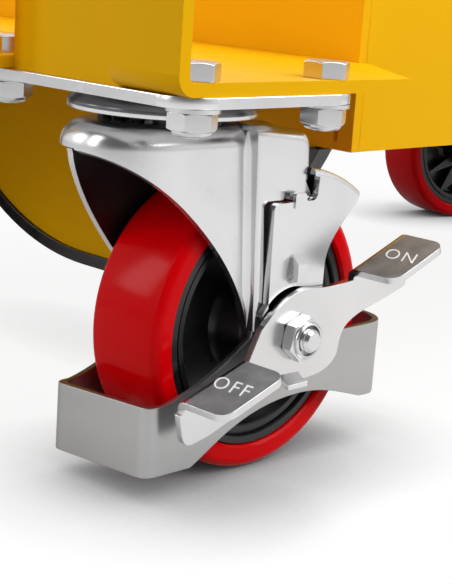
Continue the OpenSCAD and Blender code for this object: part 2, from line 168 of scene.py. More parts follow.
def lathe(bm, profile, steps=96):
    """A solid of revolution about Z: the profile is (radius, height) from axis to axis, or a closed ring."""
    verts = [bm.verts.new((r, 0, z)) for r, z in profile]
    edges = [bm.edges.new((verts[i], verts[(i + 1) % len(verts)])) for i in range(len(verts))]
    bmesh.ops.spin(bm, geom=verts + edges, cent=(0, 0, 0), axis=(0, 0, 1), dvec=(0, 0, 0),
                   angle=math.tau, steps=steps, use_merge=True)
    bmesh.ops.remove_doubles(bm, verts=bm.verts, dist=1e-4)
    bmesh.ops.recalc_face_normals(bm, faces=bm.faces)


def along_y(bm, at):
    """Turns what was made about Z so that its top points to -Y, and centres it at a point."""
    bmesh.ops.rotate(bm, verts=bm.verts, cent=(0, 0, 0), matrix=Matrix.Rotation(math.pi / 2, 3, "X"))
    bmesh.ops.translate(bm, verts=bm.verts, vec=at)


# %% Rods and rolled edges
def rod(bm, r, length, segments):
    """A round rod along Z, with its middle at the origin."""
    bmesh.ops.create_cone(bm, cap_ends=True, segments=segments, radius1=r, radius2=r, depth=length)


def roll(bm, geom, width, segments, affect="EDGES", clamp=False):
    """Rolls edges over, or rounds the corners of a sheet, in a few steps."""
    bmesh.ops.bevel(bm, geom=geom, offset=width, offset_type="OFFSET", segments=segments,
                    profile=0.5, affect=affect, clamp_overlap=clamp, material=-1)


# %% Objects from meshes
def to_scene(name, data):
    obj = bpy.data.objects.new(name, data)
    bpy.context.scene.collection.objects.link(obj)
    return obj


def to_object(name, bm, outward=True):
    """Turns a bmesh into an object. Its normals are turned outwards, unless they already are."""
    if outward:
        bmesh.ops.recalc_face_normals(bm, faces=bm.faces)
    mesh = bpy.data.meshes.new(name)
    bm.to_mesh(mesh)
    bm.free()
    return to_scene(name, mesh)


def shaped(name, shape, *args):
    """A new object whose mesh one of the shape helpers makes."""
    bm = bmesh.new()
    shape(bm, *args)
    return to_object(name, bm)


def apply_modifiers(obj):
    """Replaces the object's mesh by what its modifiers make of it."""
    depsgraph = bpy.context.evaluated_depsgraph_get()
    made = bpy.data.meshes.new_from_object(obj.evaluated_get(depsgraph))
    old = obj.data
    obj.modifiers.clear()
    obj.data = made
    bpy.data.meshes.remove(old)


# %% Joining, cutting and softening
def combine(base, other, how):
    """Joins, cuts or intersects two solids, and deletes the second."""
    mod = base.modifiers.new("combine", "BOOLEAN")
    mod.operation = how
    mod.solver = "EXACT"
    mod.object = other
    apply_modifiers(base)
    bpy.data.objects.remove(other)


def soften(obj, width, angle=35, segments=2):
    """Rounds the sharp edges a little, as on every real edge."""
    bm = bmesh.new()
    bm.from_mesh(obj.data)
    bmesh.ops.remove_doubles(bm, verts=bm.verts, dist=0.004)
    bmesh.ops.dissolve_degenerate(bm, edges=bm.edges, dist=0.004)
    bm.to_mesh(obj.data)
    bm.free()
    mod = obj.modifiers.new("soften", "BEVEL")
    mod.width = width
    mod.segments = segments
    mod.limit_method = "ANGLE"
    mod.angle_limit = math.radians(angle)
    mod.harden_normals = False
    apply_modifiers(obj)


def join_parts(name, parts):
    """Several meshes as one piece, without merging what only touches."""
    bm = bmesh.new()
    for obj in parts:
        bm.from_mesh(obj.data)
        bpy.data.objects.remove(obj)
    return to_object(name, bm, outward=False)


# %% Placing a finished piece
def tidy_piece(obj, body, material, smooth=40):
    obj.data.materials.clear()
    obj.data.materials.append(material)
    obj.data.shade_smooth()
    obj.data.set_sharp_from_angle(angle=math.radians(smooth))
    even = obj.modifiers.new("even normals", "WEIGHTED_NORMAL")
    even.keep_sharp = True
    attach(obj, body)


def finish_piece(obj, corner, body, node, material, smooth=40):
    """Places a piece that was made in its caster's frame, smooths it and ties it to its body."""
    obj.data.transform(PLACE[corner])
    obj.data.update()
    tidy_piece(obj, f"{body}_{corner}", material, smooth)
    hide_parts(f"{node}_{corner}")
    return obj


def second_finish(obj, corner, material, test):
    """Gives the faces that pass a test of (centre, normal), in the caster's frame, another finish."""
    back = PLACE[corner].inverted()
    turn = back.to_3x3()
    obj.data.materials.append(material)
    for face in obj.data.polygons:
        if test(back @ face.center, (turn @ face.normal).normalized()):
            face.material_index = 1


# %% [markdown]
# ## Finishes
#
# A handful of finishes covers the dolly. Each is a Principled shader whose colour, roughness and bump come
# from noise in Object coordinates, at the scale of the real surface: the orange peel of powder coat, the
# cloudy zinc of plated steel, the fine lines of brushed strip, the gloss of cast polyurethane and the satin
# of moulded nylon. The patterns are in metres, because the objects are.

# %% Node helpers
def add_node(tree, kind, values=None):
    """A shader node. Values are by input name or number: a socket is linked, anything else is set."""
    node = tree.nodes.new("ShaderNode" + kind)
    for key, value in (values or {}).items():
        if isinstance(value, bpy.types.NodeSocket):
            tree.links.new(value, node.inputs[key])
        else:
            node.inputs[key].default_value = value
    return node


def calculate(tree, operation, *values):
    node = add_node(tree, "Math", dict(enumerate(values)))
    node.operation = operation
    return node.outputs[0]


def blend(tree, fac, first, second):
    """The first shader at a factor of 0, the second at 1."""
    return add_node(tree, "MixShader", {0: fac, 1: first, 2: second}).outputs[0]


# %% A shader with noise
def shader(name, color, roughness, metallic=0.0):
    mat = bpy.data.materials.new(name)
    mat.use_nodes = True
    node = mat.node_tree.nodes["Principled BSDF"]
    node.inputs["Base Color"].default_value = (*color, 1)
    node.inputs["Roughness"].default_value = roughness
    node.inputs["Metallic"].default_value = metallic
    return mat


def add_noise(mat, scale, stretch=(1, 1, 1), detail=3.0):
    """A noise texture in Object coordinates, stretched along an axis if wanted."""
    tree = mat.node_tree
    place = add_node(tree, "TexCoord").outputs["Object"]
    mapping = add_node(tree, "Mapping", {"Vector": place, "Scale": stretch})
    values = {"Vector": mapping.outputs["Vector"], "Scale": scale, "Detail": detail}
    return add_node(tree, "TexNoise", values).outputs["Fac"]


def drive(mat, source, socket):
    mat.node_tree.links.new(source, mat.node_tree.nodes["Principled BSDF"].inputs[socket])


def tint(mat, scale, dark, light, **noise):
    """A base colour that wanders between two tints with a noise."""
    ramp = add_node(mat.node_tree, "ValToRGB", {"Fac": add_noise(mat, scale, **noise)})
    for element, position, color in zip(ramp.color_ramp.elements, (0.3, 0.7), (dark, light)):
        element.position = position
        element.color = (*color, 1)
    drive(mat, ramp.outputs["Color"], "Base Color")


def roughen(mat, scale, low, high, **noise):
    """A roughness that wanders between two values with a noise."""
    values = {"Value": add_noise(mat, scale, **noise), "From Min": 0.3, "From Max": 0.7,
              "To Min": low, "To Max": high}
    drive(mat, add_node(mat.node_tree, "MapRange", values).outputs["Result"], "Roughness")


def dent(mat, scale, strength, distance, **noise):
    """Bump from a noise: strength is the mix, distance the height in metres."""
    values = {"Height": add_noise(mat, scale, **noise), "Strength": strength, "Distance": distance}
    drive(mat, add_node(mat.node_tree, "Bump", values).outputs["Normal"], "Normal")


def gloss(mat, level):
    mat.node_tree.nodes["Principled BSDF"].inputs["Specular IOR Level"].default_value = level


# %% Powder coat
yellow = shader("yellow_powder_coat", (0.93, 0.49, 0.002), 0.34)
tint(yellow, 9, (0.91, 0.475, 0.0015), (0.95, 0.505, 0.003))
roughen(yellow, 60, 0.30, 0.40)
dent(yellow, 700, 0.10, 0.0002)
gloss(yellow, 0.06)
print("finish:", yellow.name)

# %% Plated and brushed steel
bright = shader("bright_zinc", (0.63, 0.63, 0.635), 0.25, 1.0)
tint(bright, 30, (0.60, 0.60, 0.605), (0.66, 0.66, 0.665))
roughen(bright, 70, 0.22, 0.28)
dent(bright, 300, 0.02, 0.0001, detail=2)

brushed = shader("brushed_zinc", (0.40, 0.40, 0.40), 0.36, 1.0)
tint(brushed, 40, (0.38, 0.38, 0.38), (0.42, 0.42, 0.42), stretch=(0.3, 0.3, 1))
roughen(brushed, 120, 0.32, 0.40, stretch=(0.2, 0.2, 3))
dent(brushed, 900, 0.04, 0.0001, stretch=(0.1, 0.1, 2))
print("finishes:", bright.name, "and", brushed.name)

# %% Near-black steel painted as shade, scuffed steel for the pedals, and balls darkened as painted shade
# Near-black steel laid on faces inside the forks and behind the brake plates: painted shade.
painted_shade = shader("painted_shade_steel", (0.055, 0.055, 0.057), 0.38, 0.9)
tint(painted_shade, 60, (0.045, 0.045, 0.047), (0.07, 0.07, 0.072))
roughen(painted_shade, 90, 0.32, 0.46)

scuffed = shader("scuffed_zinc", (0.19, 0.19, 0.195), 0.42, 0.1)
tint(scuffed, 160, (0.15, 0.15, 0.155), (0.23, 0.23, 0.235), detail=6)
roughen(scuffed, 300, 0.36, 0.5)
gloss(scuffed, 0.3)

# Near-black steel for the swivel's balls, which paints the shade in the gap under the race.
ball_painted_shade = shader("ball_painted_shade_steel", (0.012, 0.012, 0.012), 0.3, 0.6)
roughen(ball_painted_shade, 200, 0.2, 0.4)
print("finishes:", painted_shade.name, scuffed.name, "and", ball_painted_shade.name)

# %% The top plate and its race, with painted shade under the plate
# The race between the plate's underside and its rim is painted dark grey, as shade under the plate.
PLATE_T, RIM_H, UNDER_PLATE_SHADE = 0.0036, 0.0012, (0.14, 0.14, 0.145)
plate_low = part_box("top_plate_front_left")[1][2] - PLATE_T
race_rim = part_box("top_plate_front_left")[0][2] + RIM_H


def race_finish():
    """Bright zinc for the plate and the race's ground rim, and a dark grey between them, painted as the shade
    under the plate.
    """
    mat = shader("plate_and_race", (0.6, 0.6, 0.6), 0.24, 1.0)
    tint(mat, 30, (0.58, 0.58, 0.59), (0.66, 0.66, 0.67))
    roughen(mat, 70, 0.2, 0.28)
    tree = mat.node_tree
    base = tree.nodes["Principled BSDF"].inputs["Base Color"]
    zinc = base.links[0].from_socket
    place = add_node(tree, "TexCoord").outputs["Object"]
    height = add_node(tree, "SeparateXYZ", {0: place}).outputs["Z"]
    # Between the plate's underside and the rim the colour is dark grey: painted shade under the plate.
    above = calculate(tree, "GREATER_THAN", height, plate_low)
    rim = calculate(tree, "LESS_THAN", height, race_rim)
    mix = add_node(tree, "Mix")
    mix.data_type = "RGBA"
    mix.inputs[6].default_value = (*UNDER_PLATE_SHADE, 1)
    tree.links.new(calculate(tree, "MAXIMUM", above, rim), mix.inputs[0])
    tree.links.new(zinc, mix.inputs[7])
    tree.links.new(mix.outputs[2], base)
    return mat


plate_steel = race_finish()
print("race below", round(plate_low / MM, 1), "mm")

# %% Polyurethane, nylon and rubber
red = shader("red_polyurethane", (0.76, 0.0006, 0.003), 0.16)
tint(red, 14, (0.72, 0.0005, 0.002), (0.80, 0.0009, 0.004))
roughen(red, 50, 0.12, 0.20)
dent(red, 200, 0.05, 0.0002)
gloss(red, 0.06)

nylon = shader("black_nylon", (0.009, 0.009, 0.010), 0.32)
tint(nylon, 30, (0.007, 0.007, 0.008), (0.012, 0.012, 0.013))
roughen(nylon, 200, 0.26, 0.38)
dent(nylon, 1500, 0.06, 0.0001)
gloss(nylon, 0.45)

rubber = shader("black_rubber", (0.009, 0.009, 0.010), 0.28)
roughen(rubber, 120, 0.22, 0.36)
dent(rubber, 900, 0.10, 0.0001)
print("finishes:", len([m for m in bpy.data.materials if m.use_nodes]))

# %% [markdown]
# ## The welded frame and the plates
#
# The frame's sheets, the casters' top plates and the small inner parts already have the right shape, so
# their CAD meshes stay. Their mesh is loose triangles, so a Weld modifier joins them first, and a narrow
# Bevel then catches the light along the cut edges.

# %% Dress the CAD nodes
def dress(name, material, width):
    obj = nodes[name]
    obj.data.materials.clear()
    obj.data.materials.append(material)
    if width <= 0:
        return
    weld = obj.modifiers.new("weld", "WELD")
    weld.merge_threshold = 0.00002
    bevel = obj.modifiers.new("edge", "BEVEL")
    bevel.width = width
    bevel.segments = 2
    bevel.limit_method = "ANGLE"
    bevel.angle_limit = math.radians(40)


def at_corners(kind):
    return [f"{kind}_{c}" for c in CORNERS]


SHEETS = ["cradle_sheet", "end_plate_left", "end_plate_right", "side_wall_front", "side_wall_rear",
          "end_beam_left", "end_beam_right"]
DRESSED = [
    (yellow, 0.0006, SHEETS + at_corners("corner_bracket")),
    (rubber, 0.0004, ["edge_trim_left", "edge_trim_right"]),
    (plate_steel, 0.0004, at_corners("top_plate")),
    (bright, 0, at_corners("kingpin") + ["mounting_washers"]),
    # The balls' near-black steel paints the shade in the race's gap.
    (ball_painted_shade, 0, at_corners("swivel_balls")),
    (brushed, 0, at_corners("wheel_bushing")),
]
for material, width, names in DRESSED:
    for name in names:
        dress(name, material, width)
print("dressed", sum(len(names) for _, _, names in DRESSED), "CAD nodes")

# %% [markdown]
# ## Wheels
#
# A caster wheel is a moulded black core with a tread of red polyurethane cast round it. Both are turned
# shapes, so a profile is spun about the axle. The tread's shoulders are rounded and its face is very slightly
# crowned. The braked wheels have a plain dished core; the plain casters' cores are stiffened with ribs, which
# are small prisms repeated round the hub.

# %% The tread
TREAD = half_size("tyre_front_left", 1)
CORE_R = half_size("wheel_core_front_left", 2)
HUB = half_size("wheel_core_front_left", 1)


def tread_profile():
    """Half of the section on each side of the middle, out over the crown."""
    edge = 3.4
    out = [(CORE_R, -TREAD + 0.8), (CORE_R + 0.9, -TREAD)]
    out += arc(WHEEL_R - edge - 0.5, -TREAD + edge, edge, -90, -8, 8)
    out += [(WHEEL_R - 0.12, -TREAD * 0.45), (WHEEL_R, 0), (WHEEL_R - 0.12, TREAD * 0.45)]
    out += arc(WHEEL_R - edge - 0.5, TREAD - edge, edge, 8, 90, 8)
    out += [(CORE_R + 0.9, TREAD), (CORE_R, TREAD - 0.8)]
    return out


def turned(bm, profile, steps):
    """A turned piece of the wheel, on its axle."""
    lathe(bm, profile, steps)
    along_y(bm, (TRAIL, 0, WHEEL_R))


for c in CORNERS:
    tread = shaped("tread_" + c, turned, tread_profile(), 144)
    finish_piece(tread, c, "wheel", "tyre", red, 30)
print("tread", round(2 * TREAD, 1), "mm wide, on a core of radius", round(CORE_R, 1), "mm")


# %% The core
def core_profile(dish):
    """From the bore out over one face, the rim and back. dish is how deep the web lies."""
    bore, hub, rim = 9.0, 13.0, CORE_R - 4.2
    face, web = 14.6, 14.6 - dish
    one = [(bore, HUB), (hub - 1, HUB), (hub, HUB - 1), (hub + 1.6, web + 2.4), (hub + 4, web)]
    one += [(rim - 7, web), (rim - 4.4, web + 0.9), (rim - 3.2, web + 3.0), (rim - 2.7, face - 1.5)]
    one += [(rim - 2.2, face - 1.0), (rim - 0.2, face - 1.0), (rim + 0.1, face - 1.9)]
    one += [(rim + 0.7, face - 1.9), (rim + 1.0, face - 0.4), (rim + 1.4, face)]
    one += [(CORE_R - 0.5, face), (CORE_R, face - 0.5)]
    return one + [(r, -z) for r, z in reversed(one)]


def add_ribs(bm, count, depth):
    for k in range(count):
        made = upright(bm, [(11.5, -depth), (CORE_R - 3, -depth), (CORE_R - 3, depth), (11.5, depth)],
                       -0.9, 0.9)
        linked = {v for f in made[0].link_faces for v in f.verts} | set(made)
        bmesh.ops.rotate(bm, verts=list(linked), cent=(0, 0, 0),
                         matrix=Matrix.Rotation(math.tau * k / count, 3, "Z"))


def make_core(corner, ribs):
    bm = bmesh.new()
    lathe(bm, core_profile(9.5 if ribs else 8.0), 96)
    if ribs:
        add_ribs(bm, ribs, 11.5)
    along_y(bm, (TRAIL, 0, WHEEL_R))
    obj = to_object("core_" + corner, bm)
    finish_piece(obj, corner, "wheel", "wheel_core", nylon, 35)


for c in CORNERS:
    make_core(c, 0 if c in BRAKED else 12)
print("cores made, hub", round(2 * HUB, 1), "mm long")

# %% [markdown]
# ## The forks
#
# A fork is one piece of steel, pressed in a die: a flat crown with rounded shoulders that runs down into two
# legs. It is made here the way the die makes it. A rounded block less a smaller rounded block is the shell,
# and the fork's side view, pulled right across, cuts the legs' sweeping edges out of it in one go. The brake
# side has an upright rib, and behind it the metal steps outwards over the brake.

# %% The fork's measures
FORK_T, LEG_IN, CROWN_H, CROWN_R = 2.6, 18.2, 119.5, 35.0
LEG_OUT = LEG_IN + FORK_T
SHOULDER = 7.5
BACK_X = TRAIL + 8.3
STEP_OUT = LEG_OUT + 1.8 + FORK_T
HOUSE_LOW, HOUSE_TOP, HOUSE_BACK = 95.0, 119.3, 116.6
CLIP_X = TRAIL - 4.8
KINGPIN_HOLE = 6.1


def crown_plan(inset):
    """The crown seen from above: a rounded nose and a square back."""
    w, nose, back = LEG_OUT - inset, -CROWN_R + inset, BACK_X - 9
    return (curve((-8, -w), (-22, -w), (nose, -w * 0.72), (nose, 0), 12)
            + curve((nose, 0), (nose, w * 0.72), (-22, w), (-8, w), 12)[1:]
            + [(back, w), (back, -w)])


def rounded_block(name, inset, low, high, shoulder):
    """The crown's plan pulled up, with its top edge rolled over."""
    bm = bmesh.new()
    top = flat(bm, crown_plan(inset), low, high)
    edges = [e for v in top for e in v.link_edges if all(abs(w.co.z - high) < 1e-4 for w in e.verts)]
    roll(bm, list(dict.fromkeys(edges)), shoulder, 8, clamp=True)
    return to_object(name, bm)


print("fork", round(2 * LEG_OUT, 1), "mm wide,", round(2 * LEG_IN, 1), "mm between its legs")


# %% The side view that cuts the legs out
def leg_view(braked):
    """A leg from the side, with the whole crown above it. Opposite the brake the leg starts further back."""
    foot_x, foot_z = TRAIL - 12.8, WHEEL_R - 2
    front = curve((-CROWN_R - 1, 111.2), (-16.1, 103), (21.3, 75), (foot_x, foot_z), 24)
    if braked:
        front = [(-CROWN_R - 1, 111.2)] + curve((-31, 111.2), (-26, 111.2), (-23.8, 109.5), (-22.9, 107.2), 5)
        front += curve((-24.5, 111.2), (-20.7, 95.1), (4.6, 63.5), (foot_x, foot_z), 24)[3:]
    foot = arc(TRAIL, WHEEL_R, 13, 190, 345, 14)
    back = curve((TRAIL + 13.5, WHEEL_R + 6), (TRAIL + 13, 70), (TRAIL + 5, 84), (TRAIL + 2, 108), 8)
    return front + foot + back + [(TRAIL + 2, 130), (-CROWN_R - 1, 130)]


def kingpin_hole(bm):
    rod(bm, KINGPIN_HOLE, 80, 48)
    bmesh.ops.translate(bm, verts=bm.verts, vec=(0, 0, 120))


def inside_fork(at, normal):
    """Whether a face looks at the wheel from the fork's inside, where shade is painted on."""
    under = at.z < CROWN_H - 2 and normal.z < -0.7 and abs(at.y) < LEG_IN and at.x < TRAIL
    return under or (abs(at.y) < LEG_IN + 0.2 and at.y * normal.y < 0 and abs(normal.y) > 0.5) \
        or (at.z < CROWN_H - 2 and at.x < -CROWN_R + 12 and normal.x > 0.3)


# %% One fork
def make_fork(corner, brake):
    shell = rounded_block("fork_" + corner + "_skin", 0, 30, CROWN_H, SHOULDER)
    inner = rounded_block("inner", FORK_T, 20, CROWN_H - FORK_T, SHOULDER - FORK_T)
    combine(shell, inner, "DIFFERENCE")
    outline = shaped("outline", upright, leg_view(False), -60, 0.4 if brake else 60)
    if brake:
        combine(outline, shaped("far_side", upright, leg_view(True), 0, 60), "UNION")
    combine(shell, outline, "INTERSECT")
    combine(shell, shaped("hole", kingpin_hole), "DIFFERENCE")
    if brake:
        add_step(shell)
    soften(shell, 0.55, 50, 2)
    finish_piece(shell, corner, "swivel", "fork", bright, 40)
    # The fork's inside faces get the near-black steel: painted shade.
    second_finish(shell, corner, painted_shade, inside_fork)
    return shell


# %% The step on the brake side
STEP_FOOT, STEP_LOW, STEP_LEAN, STEP_W = TRAIL - 13.6, 52.0, 5.0, 3.0


def step_x(z):
    """Where the metal steps outwards. The line follows the leg's front edge, so it leans."""
    return STEP_FOOT - (z - STEP_LOW) * math.tan(math.radians(STEP_LEAN))


def front_edges(bm, test):
    """The edges of the outer face whose middle passes a test of (x, z)."""
    middles = {e: (e.verts[0].co + e.verts[1].co) / 2 for e in bm.edges
               if all(abs(v.co.y + STEP_OUT) < 1e-4 for v in e.verts)}
    return [e for e, m in middles.items() if test(m.x, m.z)]


def foot_curve(bm):
    """A soft curve for the inner corner at the foot of the step, growing from nothing at both ends."""
    rings = []
    for z, r in ((STEP_LOW + 2, 0.3), (STEP_LOW + 12, 2.5), (HOUSE_TOP - 8, 2.5), (HOUSE_TOP - 2, 0.4)):
        x = step_x(z)
        ring = arc(x - r, -LEG_OUT - r, r, 90, 0, 7)
        ring += [(x + 0.5, -LEG_OUT - r), (x + 0.5, -LEG_OUT + 3.5), (x - r, -LEG_OUT + 3.5)]
        rings.append(face_from(bm, ring, lambda px, py: (px, py, z)))
    for low, high in zip(rings, rings[1:]):
        bmesh.ops.bridge_loops(bm, edges=[*low.edges, *high.edges])
    bmesh.ops.delete(bm, geom=rings[1:-1], context="FACES_ONLY")


# %% The brake's housing
def housing_outline():
    """From the step's foot up the strip, round the housing and down the step's line."""
    low_x, top_x = step_x(HOUSE_LOW), step_x(HOUSE_TOP)
    outline = [(step_x(STEP_LOW), STEP_LOW), (step_x(STEP_LOW) + STEP_W, STEP_LOW)]
    outline += [(low_x + STEP_W, HOUSE_LOW - 1.5), (low_x + STEP_W + 1.5, HOUSE_LOW),
                (BACK_X + 0.4, HOUSE_LOW)]
    outline += rounded([(BACK_X, HOUSE_LOW + 6, 0), (BACK_X - 1.2, HOUSE_BACK, 6.5),
                        (top_x + 5, HOUSE_TOP, 0)], 8)
    return outline + [(top_x, HOUSE_TOP)]


def housing(bm):
    """A box over the brake's top, and a strip below it, with rolled edges."""
    upright(bm, housing_outline(), -STEP_OUT, -LEG_IN)
    roll(bm, front_edges(bm, lambda x, z: z > HOUSE_LOW + 4 and x > step_x(z) + 1), 3.6, 6)
    roll(bm, front_edges(bm, lambda x, z: abs(x - step_x(z)) < 0.4 and z < HOUSE_TOP - 4), 1.8, 5)


def add_step(shell):
    """Adds the metal that stands out behind the step, hollow, and cuts the notch for the clip."""
    box = shaped("step", housing)
    top_x, ceiling = step_x(HOUSE_TOP), HOUSE_TOP - FORK_T - 2
    roof = [(top_x + 0.3, 112), (BACK_X - 6, 112), (BACK_X - 6, HOUSE_BACK + 0.4), (top_x + 0.3, HOUSE_TOP)]
    combine(box, shaped("roof", upright, roof, -LEG_OUT + 1, -LEG_OUT + SHOULDER + 0.3), "UNION")
    foot, knee, head = ((step_x(z) + FORK_T, z) for z in (STEP_LOW - 5, HOUSE_LOW, ceiling))
    hollow = [foot, (BACK_X + 5, STEP_LOW - 5), (BACK_X + 5, HOUSE_TOP - 8), (BACK_X - 4, ceiling),
              head, knee]
    combine(box, shaped("hollow", upright, hollow, -STEP_OUT + FORK_T, -LEG_IN + 5), "DIFFERENCE")
    combine(shell, box, "UNION")
    combine(shell, shaped("curve", foot_curve), "UNION")
    notch = [(CLIP_X - 0.6, HOUSE_LOW - 1), (CLIP_X + 2.4, HOUSE_LOW - 1), (CLIP_X + 2.4, HOUSE_LOW + 2),
             (CLIP_X, HOUSE_LOW + 2.4)]
    combine(shell, shaped("notch", upright, notch, -STEP_OUT - 1, -STEP_OUT + FORK_T + 1), "DIFFERENCE")


for c in CORNERS:
    piece = make_fork(c, c in BRAKED)
    print("fork", c, len(piece.data.polygons), "faces")

# %% [markdown]
# ## The toe guard
#
# The guard is a strip of brushed steel bent into a ring round the wheel, low at the front, with an ear on
# each side that hangs from the axle. A ring is pulled up from its plan, and the guard's side view cuts it to
# shape. As on a real pressing the front is slightly twisted: it hangs a little lower on the far side.

# %% The guard's measures and outlines
GUARD_IN, GUARD_T, TWIST = LEG_OUT + 0.2, 2.3, 2.4
swivel_x = joints["swivel_front_left"]["pos_m"][0]
FRONT, BACK = ((point[0] - swivel_x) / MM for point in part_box("toe_guard_front_left"))


def ring_plan(inset):
    half = GUARD_IN + GUARD_T - inset
    front, back = FRONT + inset, BACK - inset
    return rounded([(front, -half, 5 - inset / 2), (back, -half, 16 - inset), (back, half, 16 - inset),
                    (front, half, 5 - inset / 2)], 9)


def guard_side():
    """The guard from the side: a low cut-out below, and a rise to the ear above."""
    low, high, back_low, back_high, ear = 9.8, 32.9, 18.0, 46.3, 13.5
    top = [(BACK + 1, back_high), (TRAIL + 26, back_high)]
    top += curve((TRAIL + 22, back_high), (TRAIL + 16, 47), (TRAIL + 14, 49), (TRAIL + ear, WHEEL_R), 6)
    top += arc(TRAIL, WHEEL_R, ear, 12, 168, 20)
    top += curve((TRAIL - ear, WHEEL_R), (TRAIL - 24, 42.8), (TRAIL - 36, 35.5), (FRONT + 6, high), 14)
    under = [(FRONT - 1, high), (FRONT - 1, low), (TRAIL - 38, low)]
    under += curve((TRAIL - 37, low + 0.4), (TRAIL - 26, 16), (TRAIL - 14, 26), (TRAIL + 12, 26.3), 14)
    under += curve((TRAIL + 14, 26.3), (TRAIL + 26, 26), (TRAIL + 34, 23), (BACK - 16, 19.5), 10)
    return top + under + [(BACK + 1, back_low)]


print("guard from", round(FRONT, 1), "to", round(BACK, 1), "mm behind the swivel axis")


# %% Make the guards
def make_guard(corner):
    ring = shaped("guard_" + corner, flat, ring_plan(0), 5, 70)
    combine(ring, shaped("inside", flat, ring_plan(GUARD_T), 0, 80), "DIFFERENCE")
    combine(ring, shaped("side", upright, guard_side(), -40, 40), "INTERSECT")
    for v in ring.data.vertices:
        share = min(max((TRAIL - 16 - v.co.x) / 34, 0), 1)
        v.co.z -= TWIST * share * (v.co.y + GUARD_IN) / (2 * GUARD_IN)
    soften(ring, 0.45, 50, 2)
    return finish_piece(ring, corner, "swivel", "toe_guard", brushed, 40)


for c in BRAKED:
    piece = make_guard(c)
    print("guard", c, len(piece.data.polygons), "faces")

# %% [markdown]
# ## The brake plate and its hood
#
# Behind the lever a plate lies on the fork's leg. Its top edge hooks over the fork with a clip, and above
# the wheel it turns inwards as a curved hood that presses on the tread. A tab is lanced out of its middle.

# %% The brake plate's outline
CARRIER = (STEP_OUT + 0.3, STEP_OUT + 0.3 + 2.5)
HOOD_R, HOOD_T = WHEEL_R + 3.0, 2.5
HOOD_START, HOOD_END = 56, 83
BRIDGE_OUT, BRIDGE_LOW, BRIDGE_HIGH = 3.4, 67.5, 77.6
BRIDGE_X, BRIDGE_W = TRAIL - 2.3, 4.6


def carrier_outline():
    """From the plate's foot up its edge, round the clip's notch and the hood, and back over the arch."""
    top, left = HOUSE_LOW - 0.5, TRAIL - 11.6
    edge = rounded([(left, 55, 0), (left - 0.6, top, 2.2), (TRAIL + 8.2, top, 2.5),
                    (TRAIL + 8.8, top + 8, 0)], 5)
    rim = arc(TRAIL, WHEEL_R, HOOD_R + 0.4, HOOD_END, HOOD_START, 14)
    side = curve((TRAIL + 28.6, 92), (TRAIL + 22, 85.5), (TRAIL + 15.5, 80.5), (TRAIL + 14.6, 72.5), 12)
    arch = arc(TRAIL, WHEEL_R, 16.5, 26, 150, 20)
    return edge + rim + side + [(TRAIL + 14.6, 57)] + arch


# %% The hood, the clip and the tab
def hood(bm):
    """A curved strip over the tread, with its outer edge rolled."""
    near = -CARRIER[1] + 0.05
    section = (arc(TRAIL, WHEEL_R, HOOD_R + HOOD_T, HOOD_END, HOOD_START, 16)
               + arc(TRAIL, WHEEL_R, HOOD_R, HOOD_START, HOOD_END, 16))
    upright(bm, section, near, TREAD)
    rim = {v for v in bm.verts if abs(v.co.y - near) < 1e-3
           and math.hypot(v.co.x - TRAIL, v.co.z - WHEEL_R) > HOOD_R + 1}
    roll(bm, [e for e in bm.edges if rim.issuperset(e.verts)], 2.2, 5)


def bridge(bm, depth, room):
    """The lanced tab, which stands out of the plate as a small bridge, or the room below it."""
    less = (BRIDGE_OUT - depth) / 2
    out, low, high = CARRIER[1] + depth, BRIDGE_LOW + less, BRIDGE_HIGH - less
    section = [(-CARRIER[1] + 0.3, high), (-out, high - 3.2), (-out, low + 1.2), (-CARRIER[1] + 0.3, low)]
    prism(bm, section, lambda y, z: (BRIDGE_X - room, y, z), (BRIDGE_W + 2 * room, 0, 0))


def behind_plate(at, normal):
    """Whether a face lies behind the brake plate and looks at the wheel or forwards, where shade is painted
    on.
    """
    return at.y > -CARRIER[0] + 0.1 and (
        normal.x < -0.7 or math.hypot(at.x - TRAIL, at.z - WHEEL_R) < HOOD_R + 0.5)


# %% Make the brake carriers
def make_carrier(corner):
    plate = shaped("brake_plate_" + corner, upright, carrier_outline(), -CARRIER[1], -CARRIER[0])
    combine(plate, shaped("hood", hood), "UNION")
    flange = [(TRAIL + 8.8, -CARRIER[1] + 0.3), (TRAIL + 10.6, -CARRIER[1] + 0.3),
              (TRAIL + 10.6, -LEG_OUT + 1), (TRAIL + 8.8, -LEG_OUT + 1)]
    combine(plate, shaped("flange", flat, flange, HOUSE_LOW + 0.5, WHEEL_R + HOOD_R), "UNION")
    clip = rounded([(CLIP_X + 2, 92.5, 0), (CLIP_X + 8, 92.5, 0), (CLIP_X + 7, 97.2, 1),
                    (CLIP_X + 2, 97.6, 1)])
    combine(plate, shaped("clip", upright, clip, -CARRIER[1] - 0.5, -CARRIER[1] + 1), "UNION")
    combine(plate, shaped("bridge", bridge, BRIDGE_OUT, 0), "UNION")
    combine(plate, shaped("bridge_room", bridge, 1.6, 1), "DIFFERENCE")
    soften(plate, 0.4, 45, 2)
    finish_piece(plate, corner, "brake_carrier", "brake_carrier", bright, 40)
    # Faces behind the brake plate get the near-black steel: painted shade.
    second_finish(plate, corner, painted_shade, behind_plate)
    return plate


for c in BRAKED:
    piece = make_carrier(c)
    print("brake plate", c, len(piece.data.polygons), "faces")

# %% [markdown]
# ## The lever
#
# The lever is one stamping: a plate with a round hub and two arms, and from the top of each arm a pedal is
# bent out towards the foot. So it starts as the flat plate without thickness. The top edge of each arm is
# spun through a quarter turn, as in a press brake, and then pulled out to the pedal's width. Solidify gives
# the sheet its thickness at the end, so that it is the same all the way round the bend.

